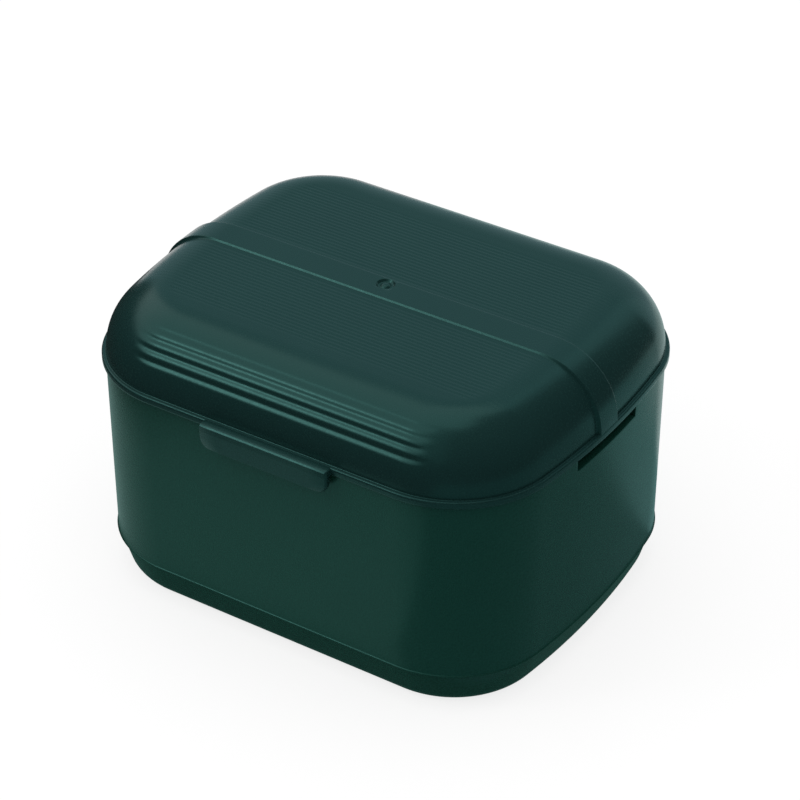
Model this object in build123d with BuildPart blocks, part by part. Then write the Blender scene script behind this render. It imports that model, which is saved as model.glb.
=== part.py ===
import os
from math import atan2, cos, degrees, radians, sin, sqrt

from build123d import *

# Retainer cleaning case: a tub with a hinged domed lid, and a strainer basket
# with a swing handle inside it. Millimetres. X is the width, -Y the front with
# the finger tab, +Y the back with the hinges, and +Z is up. The origin is the
# middle of the flat underside.

# Plan of the case at the lid's rim
case_width = 93.0
body_depth = 74.0
corner_radius = 20.0
side_bow_radius = 150.0

# Heights
case_height = 58.0
parting_height = 44.2
rim_height = 1.3
crease_height = 7.6

# Tub walls. An inset is how far a face stands in from the lid's rim.
wall = 1.7
tub_floor = 2.4
tub_inset_top = 0.7
tub_inset_crease = 1.05
foot_step = 0.25
foot_slope = 16.0
foot_edge_radius = 3.2
tub_inner_radius = 5.0
rest_gap = 0.1

# Vent notches in the top edge of the side walls
notch_length = 20.0
notch_height = 2.9

# Lid
lid_wall = 1.6
ledge = 0.8
dome_radius = 12.0
rim_edge_radius = 0.3
dome_upright = 0.1
band_width = 6.0
band_offset = -1.0
band_rise = 0.35
band_inset = 0.1
gate_diameter = 3.4
gate_depth = 0.4
gate_nub_diameter = 1.4
gate_nub_height = 0.25

# Lip under the lid that finds the tub's mouth
lip_depth = 1.0
lip_thickness = 1.0
lip_clearance = 0.25
lip_root_height = 1.2
lip_root_overlap = 0.4

# Flutes along the lid's front shoulder, set out round the dome's rounding
flute_count = 4
flute_length = 54.0
flute_radius = 0.9
flute_depth = 0.22
flute_pitch = 9.3
flute_first_angle = 31.5

# Finger tab on the front of the lid
tab_width = 26.4
tab_drop = 3.6
tab_proud = 1.6
tab_thickness = 1.3
tab_taper = 0.5
tab_root = 1.0
tab_corner_radius = 2.2

# Snap: a bead on the tub and a hook inside the tab that passes over it
snap_length = 18.0
snap_height = 0.7
snap_clearance = 0.08
bead_drop = 1.4
bead_proud = 0.45
hook_gap = 0.3

# Hinges
hinge_spacing = 32.0
hinge_offset = 3.5
barrel_radius = 2.9
knuckle_length = 8.0
knuckle_web = 2.0
knuckle_root = 1.0
lug_length = 3.4
knuckle_side_gap = 0.25
bracket_drop = 9.0
open_angle = 110.0
heel_width = 1.6
stop_gap = 0.15

# Hinge pins
pin_diameter = 1.8
pin_running_clearance = 0.06
pin_press = 0.01
pin_inset = 0.4
pin_chamfer = 0.15

# Strainer basket
basket_height = 30.6
basket_wall = 1.2
basket_floor = 1.4
basket_clearance = 0.7
basket_edge_radius = 4.0
sump_gap = 3.0
foot_diameter = 5.0
foot_gap = 0.05
drain_diameter = 3.6
drain_pitch = 7.0
drain_columns = 9
drain_rows = 7
foot_columns = 7
foot_rows = 5
slot_width = 2.4
slot_height = 14.0
slot_pitch = 6.0
slot_low = 8.0
front_slots = 9
side_slots = 5

# Basket handle
handle_width = 2.4
handle_thickness = 2.2
handle_clearance = 0.5
handle_below_rim = 1.5
handle_edge_radius = 0.5
boss_radius = 3.0
pivot_diameter = 3.0
pivot_clearance = 0.06
pivot_end_gap = 0.1
rest_length = 14.0
rest_height = 1.2
rest_overlap = 1.4
rest_ledge_gap = 0.05

# Worked out from the sizes above
half_width = case_width / 2
half_depth = body_depth / 2
rim_top = parting_height + rim_height
dome_top = case_height - band_rise
dome_edge = min(dome_radius, dome_top - rim_top - dome_upright)
tub_top = parting_height - rest_gap
tub_inner_top = tub_inset_top + wall
hinge_y = half_depth + hinge_offset
hinge_length = knuckle_length + 2 * (knuckle_side_gap + lug_length)
pin_length = hinge_length - 2 * pin_inset
hinge_centres = (-hinge_spacing / 2, hinge_spacing / 2)
basket_low = tub_floor + sump_gap
basket_top = basket_low + basket_height
handle_high = basket_top - handle_below_rim
handle_low = handle_high - handle_thickness
pivot_height = handle_high - handle_thickness / 2


def case_plan(inset):
    """The plan drawn in by inset: straight front and back, round corners, bowed sides."""
    bow_x = half_width - side_bow_radius
    corner_y = half_depth - corner_radius
    reach = sqrt((side_bow_radius - corner_radius) ** 2 - corner_y**2)
    corner_x = bow_x + reach
    bow = degrees(atan2(corner_y, reach))
    turn = 90 - bow
    with BuildSketch() as plan:
        with BuildLine():
            CenterArc((bow_x, 0), side_bow_radius - inset, -bow, 2 * bow)
            CenterArc((-bow_x, 0), side_bow_radius - inset, 180 - bow, 2 * bow)
            CenterArc((corner_x, corner_y), corner_radius - inset, bow, turn)
            CenterArc((-corner_x, corner_y), corner_radius - inset, 90, turn)
            CenterArc((-corner_x, -corner_y), corner_radius - inset, 180 + bow, turn)
            CenterArc((corner_x, -corner_y), corner_radius - inset, 270, turn)
            for y in (inset - half_depth, half_depth - inset):
                Line((-corner_x, y), (corner_x, y))
        make_face()
    return plan.sketch


def wall_block(low, high, low_inset, high_inset):
    """A solid whose plan changes evenly from low_inset at the bottom to high_inset."""
    with BuildPart() as block:
        with BuildSketch(Plane.XY.offset(low)):
            add(case_plan(low_inset))
        with BuildSketch(Plane.XY.offset(high)):
            add(case_plan(high_inset))
        loft(ruled=True)
    return block.part


def cup_block(low, high, low_inset, high_inset, radius):
    """A wall_block with its bottom edge rounded."""
    with BuildPart() as block:
        add(wall_block(low, high, low_inset, high_inset))
        fillet(block.edges().group_by(Axis.Z)[0], radius)
    return block.part


def domed_block(low, high, inset, radius):
    """An upright solid on the plan with its top edge rounded."""
    with BuildPart() as block:
        with BuildSketch(Plane.XY.offset(low)):
            add(case_plan(inset))
        extrude(amount=high - low)
        fillet(block.edges().group_by(Axis.Z)[-1], radius)
    return block.part


def ring_block(low, high, outer_inset, inner_inset):
    """An upright ring between two insets of the plan."""
    with BuildPart() as block:
        with BuildSketch(Plane.XY.offset(low)):
            add(case_plan(outer_inset))
            add(case_plan(inner_inset), mode=Mode.SUBTRACT)
        extrude(amount=high - low)
    return block.part


def tub_inner_inset(height):
    """Inset of the tub's inner wall, which leans in towards the floor."""
    lean = (tub_inset_crease - tub_inset_top) / (tub_top - crease_height)
    return tub_inner_top + lean * (tub_top - height)


def basket_inset(height):
    """Inset of the basket's outer wall, which follows the tub's inner wall."""
    return tub_inner_inset(height) + basket_clearance


# Tub: an upright wall with draft, on a foot that turns in under it
bead_height = tub_top - bead_drop
bracket_root = half_depth - tub_inset_top - wall / 2
bracket_corner = barrel_radius * sqrt(0.5)
with BuildPart() as tub:
    add(wall_block(crease_height, tub_top, tub_inset_crease, tub_inset_top))
    with BuildSketch(Plane.XY.offset(crease_height)):
        add(case_plan(tub_inset_crease + foot_step))
    extrude(amount=-crease_height, taper=foot_slope)
    fillet(tub.edges().group_by(Axis.Z)[0], foot_edge_radius)
    add(
        cup_block(tub_floor, tub_top, tub_inner_inset(tub_floor), tub_inner_top, tub_inner_radius),
        mode=Mode.SUBTRACT,
    )
    # Vent notches through both side walls
    with Locations((0, 0, tub_top)):
        Box(case_width, notch_length, 2 * notch_height, mode=Mode.SUBTRACT)
    # Snap bead on the front wall, behind the finger tab
    with BuildSketch(Plane.YZ.offset(-snap_length / 2)):
        with Locations((tub_inset_top - half_depth, bead_height)):
            Ellipse(bead_proud, snap_height / 2)
    extrude(amount=snap_length)
    # Hinge lugs: barrels carried by brackets on the back wall
    for hinge_x in hinge_centres:
        for side in (-1, 1):
            lug_x = hinge_x + side * (knuckle_length / 2 + knuckle_side_gap)
            with BuildSketch(Plane.YZ.offset(lug_x)):
                with Locations((hinge_y, parting_height)):
                    Circle(barrel_radius)
                with BuildLine():
                    Polyline(
                        (bracket_root, tub_top),
                        (hinge_y, tub_top),
                        (hinge_y + bracket_corner, parting_height - bracket_corner),
                        (bracket_root, tub_top - bracket_drop),
                        close=True,
                    )
                make_face()
            extrude(amount=side * lug_length)
        with BuildSketch(Plane.YZ.offset(hinge_x - hinge_length / 2)):
            with Locations((hinge_y, parting_height)):
                Circle(pin_diameter / 2 - pin_press)
        extrude(amount=hinge_length, mode=Mode.SUBTRACT)
tub.part.label = "tub"

# Raised band across the lid, cut from a slightly larger dome
with BuildPart() as band:
    add(domed_block(rim_top, case_height, band_inset, dome_edge + band_rise))
    with Locations((0, band_offset, rim_top)):
        Box(case_width, band_width, 2 * case_height, mode=Mode.INTERSECT)

# Lip ring, open at the vent notches
lip_outer = tub_inner_top + lip_clearance
lip_inner = lip_outer + lip_thickness
with BuildPart() as lip:
    add(ring_block(parting_height - lip_depth, parting_height, lip_outer, lip_inner))
    with Locations((0, 0, parting_height)):
        Box(case_width, notch_length + 2 * lip_clearance, 2 * lip_depth, mode=Mode.SUBTRACT)
    add(
        ring_block(
            parting_height,
            parting_height + lip_root_height,
            tub_inner_top - lip_root_overlap,
            lip_inner,
        )
    )

# Finger tab: a section along the front, cut to a front view with round lower corners
tab_low = parting_height - tab_drop
tab_outer = -(half_depth + tab_proud)
tab_inner = tab_outer + tab_thickness
hook_proud = tub_inset_top - half_depth - bead_proud - snap_clearance - tab_inner
with BuildPart() as finger_tab:
    with BuildSketch(Plane.YZ.offset(-tab_width / 2)):
        with BuildLine():
            Polyline(
                (tab_root - half_depth, rim_top),
                (tab_outer, rim_top),
                (tab_outer, parting_height),
                (tab_outer + tab_taper, tab_low),
                (tab_inner, tab_low),
                (tab_inner, parting_height),
                (tab_root - half_depth, parting_height),
                close=True,
            )
        make_face()
    extrude(amount=tab_width)
    with BuildSketch(Plane.XZ.offset(-tab_outer)) as tab_front:
        with Locations((0, tab_low)):
            Rectangle(tab_width, case_height, align=(Align.CENTER, Align.MIN))
        fillet(tab_front.vertices().group_by(Axis.Y)[0], tab_corner_radius)
    extrude(amount=-body_depth, mode=Mode.INTERSECT)
    with BuildSketch(Plane.YZ.offset(-snap_length / 2)):
        with Locations((tab_inner, bead_height - snap_height - hook_gap)):
            Ellipse(hook_proud, snap_height / 2)
    extrude(amount=snap_length)

# Lid
dome_centre_y = ledge + dome_edge - half_depth
dome_centre_z = dome_top - dome_edge
flute_orbit = dome_edge - flute_depth + flute_radius
heel_reach = hinge_offset + tub_inset_top - stop_gap
with BuildPart() as lid:
    with BuildSketch(Plane.XY.offset(parting_height)):
        add(case_plan(0))
    extrude(amount=rim_height)
    fillet(lid.edges().group_by(Axis.Z)[-1], rim_edge_radius)
    add(domed_block(rim_top - rim_height / 2, dome_top, ledge, dome_edge))
    add(band.part)
    # Flutes with round ends along the front shoulder
    for index in range(flute_count):
        angle = radians(flute_first_angle + index * flute_pitch)
        flute_y = dome_centre_y - flute_orbit * cos(angle)
        flute_z = dome_centre_z + flute_orbit * sin(angle)
        with BuildSketch(Plane.YZ.offset(-flute_length / 2)):
            with Locations((flute_y, flute_z)):
                Circle(flute_radius)
        extrude(amount=flute_length, mode=Mode.SUBTRACT)
        with Locations((-flute_length / 2, flute_y, flute_z), (flute_length / 2, flute_y, flute_z)):
            Sphere(flute_radius, mode=Mode.SUBTRACT)
    # Hollow inside, with the lip round its mouth
    add(
        domed_block(
            parting_height,
            dome_top - lid_wall,
            ledge + lid_wall,
            dome_edge - lid_wall,
        ),
        mode=Mode.SUBTRACT,
    )
    add(lip.part)
    add(finger_tab.part)
    # Gate mark: a shallow round recess with a nub in it
    with BuildSketch(Plane.XY.offset(case_height)):
        Circle(gate_diameter / 2)
    extrude(amount=-gate_depth, mode=Mode.SUBTRACT)
    with BuildSketch(Plane.XY.offset(case_height - gate_depth)):
        Circle(gate_nub_diameter / 2)
    extrude(amount=gate_nub_height)
    # Hinge knuckles, each with a heel that meets the tub's wall when the lid is open
    for hinge_x in hinge_centres:
        with BuildSketch(Plane.YZ.offset(hinge_x - knuckle_length / 2)):
            with Locations((hinge_y, parting_height)):
                Circle(barrel_radius)
                Rectangle(
                    heel_reach,
                    heel_width,
                    rotation=open_angle,
                    align=(Align.MAX, Align.MAX),
                )
            with Locations((half_depth - knuckle_root, parting_height)):
                Rectangle(hinge_offset + knuckle_root, knuckle_web, align=(Align.MIN, Align.MIN))
            with Locations((hinge_y, parting_height)):
                Circle(pin_diameter / 2 + pin_running_clearance, mode=Mode.SUBTRACT)
        extrude(amount=knuckle_length)
lid.part.label = "lid"


def hinge_pin(hinge_x):
    """A plain steel pin through one hinge."""
    with BuildPart() as pin:
        with BuildSketch(Plane.YZ.offset(hinge_x - pin_length / 2)):
            with Locations((hinge_y, parting_height)):
                Circle(pin_diameter / 2)
        extrude(amount=pin_length)
        chamfer(pin.edges().filter_by(GeomType.CIRCLE), pin_chamfer)
    return pin.part


hinge_pin_left = hinge_pin(hinge_centres[0])
hinge_pin_left.label = "hinge_pin_left"
hinge_pin_right = hinge_pin(hinge_centres[1])
hinge_pin_right.label = "hinge_pin_right"

# Strainer basket: a perforated cup on four feet
basket_inner = basket_inset(pivot_height) + basket_wall
with BuildPart() as strainer_basket:
    add(
        cup_block(
            basket_low,
            basket_top,
            basket_inset(basket_low),
            basket_inset(basket_top),
            basket_edge_radius,
        )
    )
    add(
        cup_block(
            basket_low + basket_floor,
            basket_top,
            basket_inset(basket_low) + basket_wall,
            basket_inset(basket_top) + basket_wall,
            basket_edge_radius - basket_wall,
        ),
        mode=Mode.SUBTRACT,
    )
    # Drain holes in the floor, and feet midway between them
    with BuildSketch(Plane.XY.offset(basket_low)):
        with GridLocations(drain_pitch, drain_pitch, drain_columns, drain_rows):
            Circle(drain_diameter / 2)
    extrude(amount=basket_floor, mode=Mode.SUBTRACT)
    with BuildSketch(Plane.XY.offset(tub_floor + foot_gap)):
        with GridLocations(foot_columns * drain_pitch, foot_rows * drain_pitch, 2, 2):
            Circle(foot_diameter / 2)
    extrude(amount=sump_gap - foot_gap)
    # Upright slots through the front and back walls, and through the side walls
    slot_middle = basket_low + slot_low + slot_height / 2
    with BuildSketch(Plane.XZ.offset(-half_depth)):
        with Locations((0, slot_middle)):
            with GridLocations(slot_pitch, slot_pitch, front_slots, 1):
                SlotOverall(slot_height, slot_width, rotation=90)
    extrude(amount=body_depth, mode=Mode.SUBTRACT)
    with BuildSketch(Plane.YZ.offset(-half_width)):
        with Locations((0, slot_middle)):
            with GridLocations(slot_pitch, slot_pitch, side_slots, 1):
                SlotOverall(slot_height, slot_width, rotation=90)
        with Locations((0, pivot_height)):
            Circle(pivot_diameter / 2 + pivot_clearance)
    extrude(amount=case_width, mode=Mode.SUBTRACT)
    # Ledge that the folded handle rests on
    with Locations((0, basket_inner - basket_wall / 2 - half_depth, handle_low - rest_ledge_gap)):
        Box(
            rest_length,
            basket_wall / 2 + handle_clearance + rest_overlap,
            rest_height,
            align=(Align.CENTER, Align.MIN, Align.MAX),
        )
strainer_basket.part.label = "strainer_basket"

# Basket handle: a bail that follows the basket's wall, with a pivot at each end
handle_outer = basket_inner + handle_clearance
handle_inner = handle_outer + handle_width
with BuildPart() as basket_handle:
    with BuildSketch(Plane.XY.offset(handle_low)):
        add(case_plan(handle_outer))
        add(case_plan(handle_inner), mode=Mode.SUBTRACT)
        Rectangle(case_width, body_depth, align=(Align.CENTER, Align.MIN), mode=Mode.SUBTRACT)
    extrude(amount=handle_thickness)
    bar_edges = basket_handle.edges().group_by(Axis.Z)
    fillet(bar_edges[0] + bar_edges[-1], handle_edge_radius)
    for side in (-1, 1):
        with BuildSketch(Plane.YZ.offset(side * (half_width - handle_inner))):
            with Locations((0, pivot_height)):
                Circle(boss_radius)
        extrude(amount=side * handle_width)
        with BuildSketch(Plane.YZ.offset(side * (half_width - handle_outer))):
            with Locations((0, pivot_height)):
                Circle(pivot_diameter / 2)
        extrude(amount=side * (handle_clearance + basket_wall - pivot_end_gap))
basket_handle.part.label = "basket_handle"

os.makedirs("parts", exist_ok=True)
export_step(tub.part, "parts/tub.step")
export_step(lid.part, "parts/lid.step")
export_step(hinge_pin_left, "parts/hinge_pin_left.step")
export_step(hinge_pin_right, "parts/hinge_pin_right.step")
export_step(strainer_basket.part, "parts/strainer_basket.step")
export_step(basket_handle.part, "parts/basket_handle.step")
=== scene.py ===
# %% [markdown]
# # A retainer cleaning case, one surface at a time
#
# The real object is a small moulded bath for a dental retainer: a tub, a domed lid that
# swings on two hinges at the back, and a strainer basket with a swing handle inside.
# The CAD model has its sizes, joints and collision shapes. This lesson dresses that
# model: it puts soft edges, fine ribs and real finishes where the CAD model says the
# pieces are. The case's lengths are in millimetres, and become metres only where a mesh
# is made. The studio's lengths are in metres.

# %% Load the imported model
import math

import bpy
import numpy as np
from mathutils import Matrix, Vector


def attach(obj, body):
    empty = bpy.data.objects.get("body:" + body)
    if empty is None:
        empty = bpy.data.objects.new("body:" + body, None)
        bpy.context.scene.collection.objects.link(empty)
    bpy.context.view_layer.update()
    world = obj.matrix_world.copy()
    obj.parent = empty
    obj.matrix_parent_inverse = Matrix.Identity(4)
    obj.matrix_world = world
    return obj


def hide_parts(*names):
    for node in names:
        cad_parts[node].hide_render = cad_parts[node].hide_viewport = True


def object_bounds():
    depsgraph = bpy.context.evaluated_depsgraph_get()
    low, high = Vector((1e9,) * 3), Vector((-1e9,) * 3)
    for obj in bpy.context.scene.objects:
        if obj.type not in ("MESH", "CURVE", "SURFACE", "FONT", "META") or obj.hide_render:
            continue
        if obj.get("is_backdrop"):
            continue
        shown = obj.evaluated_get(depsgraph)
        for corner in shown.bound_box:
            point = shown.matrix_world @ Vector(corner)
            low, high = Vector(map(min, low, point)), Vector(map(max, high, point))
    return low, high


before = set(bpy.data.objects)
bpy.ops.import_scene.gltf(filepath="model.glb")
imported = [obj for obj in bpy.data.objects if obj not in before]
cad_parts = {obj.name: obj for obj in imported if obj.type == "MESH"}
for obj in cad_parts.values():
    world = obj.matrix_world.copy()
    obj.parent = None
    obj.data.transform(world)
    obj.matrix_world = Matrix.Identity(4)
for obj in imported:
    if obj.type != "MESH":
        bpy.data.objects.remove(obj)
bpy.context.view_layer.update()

scene = bpy.context.scene
print("CAD nodes:", sorted(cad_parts))

# %% [markdown]
# ## The camera
#
# The photograph was taken from the front right and from above, with a long lens, so the
# far edges are hardly smaller than the near ones. The angles, the distance and the focal
# length come from fitting the outline of the case, whose sizes are known, to the picture.
# A camera could be turned by hand until it looks right, but a fit also settles how
# strong the perspective is. The case isn't in the middle of the picture, so the camera
# stands a little to the side.

# %% Camera from the fitted angles
FRAME_PIXELS = 800
AZIMUTH = 0.577
ELEVATION = 0.601
CAMERA_DISTANCE = 546.3
FOCAL_PIXELS = 3019.5
AIM_POINT = np.array([0.0, 0.0, 30.0])
AIM_PIXEL = np.array([386.2, 414.9])
SENSOR_WIDTH = 36.0

forward = np.array(
    [
        -math.sin(AZIMUTH) * math.cos(ELEVATION),
        math.cos(AZIMUTH) * math.cos(ELEVATION),
        -math.sin(ELEVATION),
    ]
)
camera_right = np.cross(forward, (0, 0, 1))
camera_right /= np.linalg.norm(camera_right)
camera_up = np.cross(camera_right, forward)
aside = (AIM_PIXEL - FRAME_PIXELS / 2) / FOCAL_PIXELS * CAMERA_DISTANCE
camera_place = (
    AIM_POINT
    - CAMERA_DISTANCE * forward
    - aside[0] * camera_right
    + aside[1] * camera_up
)



def set_up(thing, axes, place):
    """Links an object to the scene, with its three axes and its place in metres."""
    matrix = np.eye(4)
    matrix[:3] = np.column_stack([*axes, place])
    thing.matrix_world = Matrix(matrix.tolist())
    scene.collection.objects.link(thing)


camera_data = bpy.data.cameras.new("studio_camera")
camera_data.sensor_width = SENSOR_WIDTH
camera_data.lens = FOCAL_PIXELS * SENSOR_WIDTH / FRAME_PIXELS
camera = bpy.data.objects.new("studio_camera", camera_data)
set_up(camera, (camera_right, camera_up, -forward), camera_place / 1000)
scene.camera = camera
print("lens in mm:", round(camera_data.lens, 1))

# %% [markdown]
# ## Nodes and colours
#
# Every finish below is a graph of shader nodes. One helper adds a node, sets its
# properties and fills its sockets: a socket of another node is linked, and anything else
# is set as a plain value. Colours are written as sRGB hex values, as a paint program
# shows them, and a second helper turns them into a renderer's linear values.

# %% Helpers for materials
def add_node(tree, kind, settings, inputs):
    """Adds one node, with its properties, and its sockets by name or number."""
    made = tree.nodes.new(kind)
    for name, value in settings.items():
        setattr(made, name, value)
    for name, value in inputs.items():
        if isinstance(value, bpy.types.NodeSocket):
            tree.links.new(value, made.inputs[name])
        else:
            made.inputs[name].default_value = value
    return made


def linear(hex_colour):
    """sRGB hex to linear red, green, blue and alpha, by the sRGB curve."""
    value = np.array([int(hex_colour[i : i + 2], 16) for i in (1, 3, 5)]) / 255
    curved = np.where(value <= 0.04045, value / 12.92, ((value + 0.055) / 1.055) ** 2.4)
    return (*curved.tolist(), 1.0)


def new_material(name):
    """An empty node material and its tree."""
    material = bpy.data.materials.new(name)
    material.use_nodes = True
    material.node_tree.nodes.clear()
    return material, material.node_tree


def show(tree, shader, output="ShaderNodeOutputMaterial"):
    """Makes a node's shader the surface that the tree gives."""
    add_node(tree, output, {}, {"Surface": shader.outputs[0]})


print("dark green, linear:", [round(c, 4) for c in linear("#17362f")])

# %% [markdown]
# ## Textures that move with the piece
#
# The textures are noise in Object coordinates, which need no UV map and go with the
# piece when the lid opens. The steps that several finishes share are named here: noise
# of a set size, a colour between two others, a change of range and a bump.

# %% Helpers for textures
def object_place(tree):
    """The place of a point in its piece's own coordinates, in metres."""
    return add_node(tree, "ShaderNodeTexCoord", {}, {}).outputs["Object"]


def noise(tree, place, size, detail):
    """Noise between 0 and 1 whose features are about that many millimetres long."""
    inputs = {"Vector": place, "Scale": 1000 / size, "Detail": detail}
    return add_node(tree, "ShaderNodeTexNoise", {}, inputs).outputs["Fac"]


def between(tree, share, first, last):
    """The first colour where the share is 0, the last where it is 1, and their mix."""
    inputs = {"Factor": share, 6: linear(first), 7: linear(last)}
    return add_node(tree, "ShaderNodeMix", {"data_type": "RGBA"}, inputs).outputs[2]


def remap(tree, value, start, end, low, high):
    """Goes evenly from low to high while the value goes from start to end."""
    inputs = {"Value": value, "From Min": start, "From Max": end}
    inputs |= {"To Min": low, "To Max": high}
    return add_node(tree, "ShaderNodeMapRange", {}, inputs).outputs["Result"]


def bump(tree, value, strength, height, more=None):
    """Tilts the shading as a relief of that height in millimetres would. more holds
    the Normal of another bump, to which this one is added."""
    inputs = {"Height": value, "Strength": strength, "Distance": height / 1000}
    if more is not None:
        inputs["Normal"] = more
    return add_node(tree, "ShaderNodeBump", {}, inputs).outputs["Normal"]


print("a size of 0.4 mm is a noise scale of", 1000 / 0.4)

# %% [markdown]
# ## Satin moulded polypropylene, dark green
#
# The case is injection-moulded polypropylene. The mould is bead-blasted to a fine even
# grain, so the plastic has a satin surface: broad soft highlights, no mirror images, and
# edges that turn pale where one looks along them. Three things make that here. A grain
# of about 0.4 mm, drawn coarser than the real 0.05 mm so that the render can show it at
# all, breaks up the shine. A very shallow waviness some 9 mm long stands for the way
# that walls shrink unevenly as they cool. The pigment is nearly even, so the two greens
# that a slow noise mixes are close together. Polypropylene's IOR is about 1.49. Plastic
# shines white, but the photograph's highlights are a pale green, so the shine has that
# tint.

# %% Green plastic
POLYPROPYLENE_IOR = 1.49
GRAIN_SIZE = 0.4
GRAIN_HEIGHT = 0.02
GRAIN_STRENGTH = 0.05
SHRINK_WAVE = 9.0
WAVE_HEIGHT = 0.1
WAVE_STRENGTH = 0.25
PIGMENT_CLOUD = 14.0
SHINE_SPREAD = 0.03
SHINE_TINT = "#a0fff5"


def moulded_green(name, dark, light, roughness):
    """Satin polypropylene between two close greens, with a moulded grain."""
    material, tree = new_material(name)
    place = object_place(tree)
    pigment = noise(tree, place, PIGMENT_CLOUD, 2.0)
    grain = noise(tree, place, GRAIN_SIZE, 1.0)
    wave = noise(tree, place, SHRINK_WAVE, 0.0)
    waved = bump(tree, wave, WAVE_STRENGTH, WAVE_HEIGHT)
    low, high = roughness - SHINE_SPREAD, roughness + SHINE_SPREAD
    plastic = {
        "Base Color": between(tree, pigment, dark, light),
        "Roughness": remap(tree, grain, 0.3, 0.7, low, high),
        "IOR": POLYPROPYLENE_IOR,
        "Specular Tint": linear(SHINE_TINT),
        "Normal": bump(tree, grain, GRAIN_STRENGTH, GRAIN_HEIGHT, waved),
    }
    show(tree, add_node(tree, "ShaderNodeBsdfPrincipled", {}, plastic))
    return material


lid_green = moulded_green("lid_polypropylene_satin_green", "#16302f", "#183432", 0.26)
tub_green = moulded_green("tub_polypropylene_satin_green", "#12392f", "#143d33", 0.28)
print("green plastics:", lid_green.name, tub_green.name)

# %% [markdown]
# ## The plan of the case
#
# Seen from above, the case is a rounded oblong: a straight front and back, round corners,
# and sides that bow out on a large arc. A circle drawn in by an inset is a circle with
# the same middle. So the outline is kept as columns, each with the middle of its arc,
# its radius and its direction, and a point at any inset is worked out from these. On a
# straight run the middles slide along a line and the direction stays.
#
# A plain inset moves a point square to the outline, which would make the columns of the
# bowed sides fan in. The raised band on the lid has straight edges, so a column may hold
# its distance from the middle plane instead: hold is 0 there and 1 for a plain inset.

# %% Columns of an outline
HALF_WIDTH = 46.5
HALF_DEPTH = 37.0
CORNER_RADIUS = 20.0
SIDE_RADIUS = 150.0
COLUMN_FIELDS = ("x", "y", "radius", "turn", "hold", "side")

side_middle = HALF_WIDTH - SIDE_RADIUS
corner_y = HALF_DEPTH - CORNER_RADIUS
corner_reach = math.sqrt((SIDE_RADIUS - CORNER_RADIUS) ** 2 - corner_y**2)
corner_x = side_middle + corner_reach
side_turn = math.atan2(corner_y, corner_reach)


def smoothstep(value, start, end):
    """Rises from 0 at start to 1 at end, level at both: three squares less two cubes."""
    share = np.clip((value - start) / (end - start), 0, 1)
    return share * share * (3 - 2 * share)


def ring_columns(line, right_side, drawn):
    """Columns once round an outline that is the same left and right.

    line holds shares from -1 to 1 along the first straight run. right_side has rows of
    x, y, radius, turn and hold, from the end of that run to the start of the opposite
    one, and the left side is its mirror image. drawn is the inset at which a column
    that holds its place stands exactly where its turn says.
    """
    first, last = right_side[0], right_side[-1]
    near = np.tile([*first, 1.0], (len(line), 1))
    near[:, 0] = line * first[0]
    far = np.tile([*last, 1.0], (len(line), 1))
    far[:, 0] = line[::-1] * last[0]
    between_runs = np.column_stack([right_side[1:-1], np.ones(len(right_side) - 2)])
    mirrored = between_runs[::-1].copy()
    mirrored[:, 5] = -1.0
    table = np.vstack([near, between_runs, far, mirrored])
    return dict(zip(COLUMN_FIELDS, table.T), drawn=drawn)


def ring_points(columns, inset, height):
    """Points of rings on those columns: the arc's middle plus what the inset leaves of
    its radius, in the column's direction. The share across the arc keeps its value at
    the drawn inset as far as the column holds, and the rest follows from the circle."""
    inset, height = np.broadcast_arrays(inset, height)
    left = columns["radius"] - inset
    sine = np.sin(columns["turn"])
    across = (columns["radius"] - columns["drawn"]) * sine
    across = across + columns["hold"] * (columns["drawn"] - inset) * sine
    along = np.sqrt(np.maximum(left**2 - across**2, 0))
    x = columns["side"] * (columns["x"] + along)
    return np.stack([x, columns["y"] + across, height + 0 * x], axis=-1)


def arc_rows(x, y, radius, turns, hold):
    """Rows of columns on one arc: its middle and radius, and each column's turn."""
    return np.column_stack(np.broadcast_arrays(x, y, radius, turns, hold))


def case_columns(line, side_y, corner_turns, drawn, hold_from, hold_to):
    """Columns of the case's plan. side_y are the places of the columns on the bowed
    side at the drawn inset, and corner_turns are angles from the side's end to a quarter
    turn. Columns nearer the middle plane than hold_from hold their y."""
    turns = np.arcsin(np.asarray(side_y) / (SIDE_RADIUS - drawn))
    hold = smoothstep(np.abs(side_y), hold_from, hold_to)
    side = arc_rows(side_middle, 0.0, SIDE_RADIUS, turns, hold)
    back = arc_rows(corner_x, corner_y, CORNER_RADIUS, corner_turns, 1.0)
    front = back[::-1] * [1, -1, 1, -1, 1]
    return ring_columns(line, np.vstack([front, side, back]), drawn)


print("the bowed side ends", round(math.degrees(side_turn), 2), "degrees round its arc")

# %% [markdown]
# ## A closed shell from rings
#
# A moulded shell is one unbroken skin: down the outside, round the rim and up the inside.
# So each shell below is a stack of rings, joined by quads, whose first and last ring are
# closed by a flat patch. The patch isn't a fan round a middle point. Its rows run
# straight from a point on the right side to its mirror point on the left, so a rib or a
# band that lies across the case follows the rows exactly and needs no more points.

# %% Quads and caps
def grid_quads(index):
    """Quads between neighbouring rows and columns of a grid of point numbers."""
    return np.stack(
        [index[:-1, :-1], index[:-1, 1:], index[1:, 1:], index[1:, :-1]], axis=-1
    ).reshape(-1, 4)


def cap_grid(first_number, around, line):
    """Point numbers of a cap: its border is a ring's own points, and -1 is inside."""
    rows = (around - 2 * (line - 1)) // 2
    index = np.full((rows + 1, line), -1)
    index[0] = np.arange(line)
    index[:, -1] = line - 1 + np.arange(rows + 1)
    index[-1] = line - 1 + rows + np.arange(line)[::-1]
    index[:, 0] = -np.arange(rows + 1) % around
    index[index >= 0] += first_number
    return index


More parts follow.
